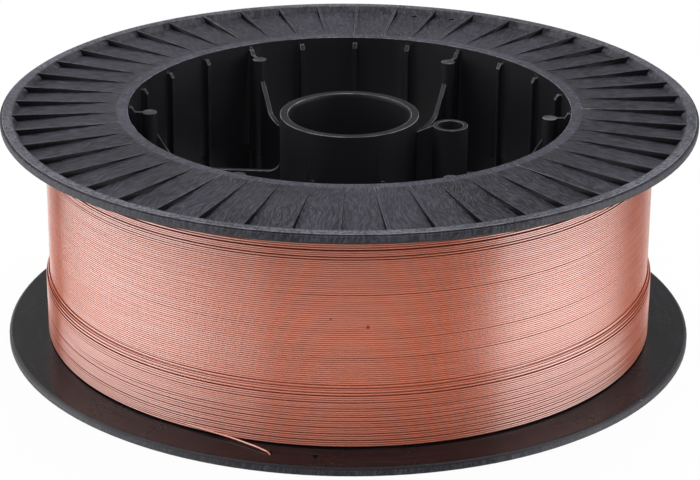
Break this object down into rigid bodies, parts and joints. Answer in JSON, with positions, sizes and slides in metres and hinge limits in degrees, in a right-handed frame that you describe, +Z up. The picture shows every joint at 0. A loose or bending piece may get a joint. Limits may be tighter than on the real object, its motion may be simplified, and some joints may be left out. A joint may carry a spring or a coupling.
{
  "type": "mig welding wire spool",
  "caption": "Full spool of copper coated welding wire on a black ribbed plastic spool, with hub bore and drive hole.",
  "frame": {"origin": "centre of the spool's footprint, on the floor that its lower flange lies on", "axes": "+Z up along the spool's axis; the drive hole lies towards +X, 11.25 degrees clockwise of it seen from above"},
  "size_m": [0.3, 0.3, 0.103],
  "materials": {
    "black_plastic": "satin",
    "copper_coated_wire": "satin"
  },
  "bodies": {
    "root": {"spool_half_upper": "black_plastic", "spool_half_lower": "black_plastic", "wire_winding": "copper_coated_wire"}
  },
  "joints": []
}
